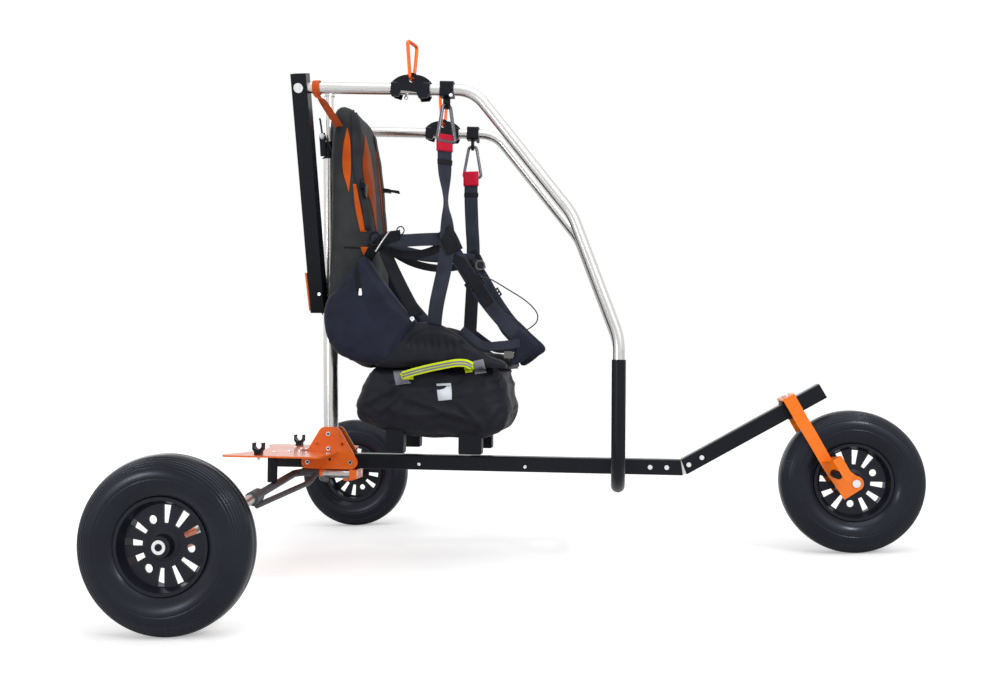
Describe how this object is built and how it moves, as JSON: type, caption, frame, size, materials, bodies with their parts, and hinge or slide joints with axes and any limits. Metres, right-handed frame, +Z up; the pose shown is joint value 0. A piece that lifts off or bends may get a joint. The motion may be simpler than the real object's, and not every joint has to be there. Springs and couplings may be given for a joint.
{
  "type": "paramotor trike",
  "caption": "Three-wheeled paramotor undercarriage: square keel and raised boom, steered fork, bent tube cage on a mast, hung harness with under-seat bag.",
  "frame": {"origin": "on the floor, midway between the axles, on the centre plane", "axes": "+X to the nose, +Z up, +Y to the trike's left"},
  "size_m": [2.084, 1.772, 1.4936],
  "materials": {
    "tyre_rubber": "smooth black rubber, fine rings at the shoulder",
    "black_plastic": "moulded black, slight sheen",
    "black_paint": "black powder coat, satin",
    "orange_paint": "orange powder coat, gloss",
    "stainless": "brushed stainless tube",
    "bolt_steel": "zinc-plated fasteners",
    "gunmetal": "dark grey, satin",
    "silver_alloy": "turned alloy",
    "orange_anodised": "orange anodised rod",
    "dark_fabric": "navy-black woven nylon",
    "charcoal_fabric": "charcoal woven nylon with orange panels",
    "dark_webbing": "dark navy webbing",
    "red_webbing": "red webbing sleeve",
    "orange_webbing": "orange webbing",
    "neon_fabric": "yellow-green padded fabric with grey stripes",
    "black_rubber": "black rubber",
    "cord_black": "thin braided line"
  },
  "bodies": {
    "frame": {"arm_gusset": "orange_paint", "arm_left": "black_paint", "arm_right": "black_paint", "axle_tubes": "silver_alloy", "bag_handle": "neon_fabric", "boom": "black_paint", "boom_joiner": "silver_alloy", "dampers": "black_rubber", "deck_plate": "orange_paint", "fan_plates": "orange_paint", "frame_bolts": "bolt_steel", "hang_brackets": "black_paint", "hanger_straps": "orange_webbing", "harness_back": "charcoal_fabric", "harness_seat": "dark_fabric", "harness_sides": "dark_fabric", "harness_straps": "dark_webbing", "hub_carriers": "orange_paint", "keel": "black_paint", "lower_hoop": "black_paint", "mast": "stainless", "mast_collar": "black_plastic", "mast_head": "stainless", "pivot_blocks": "orange_paint", "pivot_pins": "silver_alloy", "riser_clamps": "black_plastic", "riser_links": "bolt_steel", "riser_sleeves": "red_webbing", "risers": "dark_webbing", "saddles": "black_plastic", "stub_axles": "bolt_steel", "swing_arm_left": "gunmetal", "swing_arm_right": "gunmetal", "toggle_line": "cord_black", "top_tube_left": "stainless", "top_tube_right": "stainless", "under_seat_bag": "dark_fabric", "wing_links": "orange_anodised"},
    "rear_wheel_right": {"rear_tyre_right": "tyre_rubber", "rear_rim_right": "black_plastic"},
    "rear_wheel_left": {"rear_tyre_left": "tyre_rubber", "rear_rim_left": "black_plastic"},
    "front_wheel": {"front_tyre": "tyre_rubber", "front_rim": "black_plastic"},
    "fork": {"fork": "orange_paint", "king_pin": "bolt_steel", "front_axle": "bolt_steel", "foot_pegs": "black_rubber"}
  },
  "joints": [
    {"name": "rear_wheel_right_spin", "type": "hinge", "parent": "frame", "child": "rear_wheel_right", "pos_m": [-0.839, -0.835, 0.203], "axis": [0, 1, 0], "continuous": true},
    {"name": "rear_wheel_left_spin", "type": "hinge", "parent": "frame", "child": "rear_wheel_left", "pos_m": [-0.839, 0.835, 0.203], "axis": [0, 1, 0], "continuous": true},
    {"name": "steering", "type": "hinge", "parent": "frame", "child": "fork", "pos_m": [0.68418, 0, 0.42257], "axis": [-0.4524, 0, 0.8918], "range_deg": [-35, 35]},
    {"name": "front_wheel_spin", "type": "hinge", "parent": "fork", "child": "front_wheel", "pos_m": [0.839, 0, 0.203], "axis": [0, 1, 0], "continuous": true}
  ]
}
